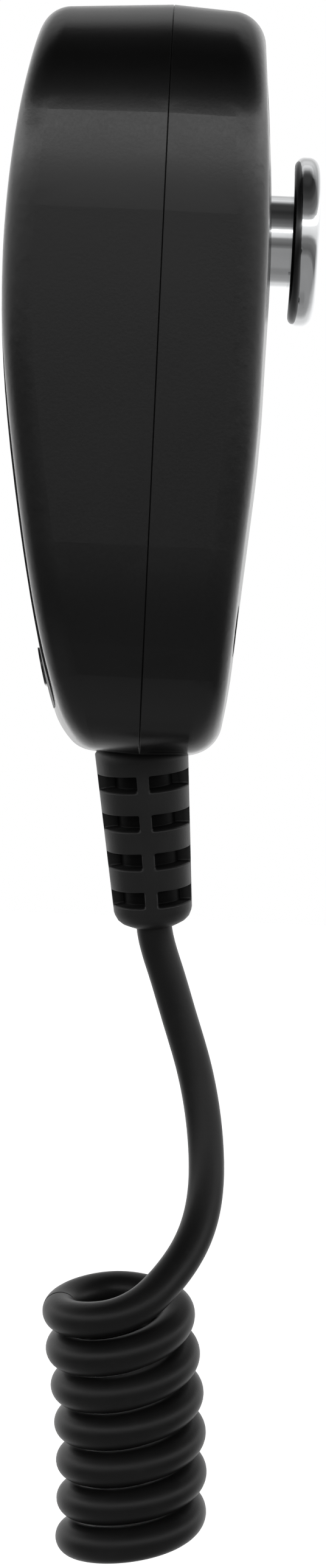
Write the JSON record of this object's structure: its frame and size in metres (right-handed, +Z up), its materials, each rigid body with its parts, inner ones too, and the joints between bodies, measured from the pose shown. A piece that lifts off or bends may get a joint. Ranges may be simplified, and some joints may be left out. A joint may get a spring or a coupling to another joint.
{
  "type": "palm microphone",
  "caption": "Palm microphone in a two-shell case with a side talk bar, a round hang-up stud on the back, a slotted strain-relief boot and a coiled cord.",
  "frame": {"origin": "on the axis of the hang-up stud, on its neck, 1.1 mm from the underside of the head", "axes": "+X out of the back of the microphone along the hang-up stud, the microphone faces -X; +Y across its width towards the talk bar; +Z up, away from the cord"},
  "size_m": [0.0386, 0.0583, 0.19],
  "materials": {
    "case_plastic": "satin black moulded case",
    "panel_plastic": "fine-textured black front panel",
    "badge_plastic": "glossy dark blank badge",
    "bar_plastic": "satin black talk bar",
    "stud_chrome": "polished chrome plating",
    "steel": "zinc plated steel",
    "black_steel": "blackened steel screws",
    "boot_rubber": "matte black moulded rubber",
    "cord_jacket": "matte black cord jacket",
    "copper": "bare copper strands",
    "board_green": "green solder mask",
    "component_black": "moulded component bodies",
    "can_aluminium": "drawn aluminium can",
    "screen_cloth": "black woven cloth",
    "cup_rubber": "soft dark rubber",
    "connector_white": "natural nylon",
    "wire_insulation": "coloured wire insulation",
    "plunger_red": "red nylon plunger"
  },
  "bodies": {
    "housing": {"front_shell": "case_plastic", "rear_shell": "case_plastic", "face_plate": "panel_plastic", "badge": "badge_plastic", "hang_up_stud": "stud_chrome", "stud_screw": "steel", "stud_washer": "steel", "case_screws": "black_steel", "dust_screen": "screen_cloth", "capsule_holder": "cup_rubber", "mic_capsule": "can_aluminium", "circuit_board": "board_green", "board_screws": "steel", "amplifier_chip": "component_black", "capacitors": "can_aluminium", "wire_connector": "connector_white", "lead_wires": "wire_insulation", "ptt_pivot_pin": "steel", "ptt_return_spring": "steel", "ptt_switch": "component_black", "cord_clamp": "component_black", "clamp_screws": "steel", "strain_relief_boot": "boot_rubber", "cord_inner": "cord_jacket"},
    "talk_bar": {"ptt_bar": "bar_plastic"},
    "plunger": {"switch_plunger": "plunger_red"},
    "cord": {"cord_lead": "cord_jacket", "cord_coil": "cord_jacket"},
    "tail": {"cord_tail": "cord_jacket", "cord_conductors": "copper"}
  },
  "joints": [
    {"name": "ptt_press", "type": "hinge", "parent": "housing", "child": "talk_bar", "pos_m": [-0.016, 0.0246, 0.009], "axis": [-1, 0, 0], "range_deg": [0, 4], "stiffness_Nm_per_rad": 0.2, "deforming": ["ptt_return_spring"]},
    {"name": "plunger_travel", "type": "slide", "parent": "housing", "child": "plunger", "axis": [0, -1, 0], "range_m": [0, 0.00155]},
    {"name": "boot_flex", "type": "hinge", "parent": "housing", "child": "cord", "pos_m": [-0.01297, 0.00176, -0.07458], "axis": [0, 1, 0], "range_deg": [-20, 20], "stiffness_Nm_per_rad": 0.05, "deforming": ["strain_relief_boot", "cord_inner"]},
    {"name": "cord_stretch", "type": "slide", "parent": "cord", "child": "tail", "axis": [0.095, 0.1793, -0.9792], "range_m": [0, 0.15], "stiffness_N_per_m": 15, "deforming": ["cord_coil"]}
  ],
  "couplings": [
    {"joint": "plunger_travel", "follows": "ptt_press", "m_per_rad": 0.022}
  ]
}
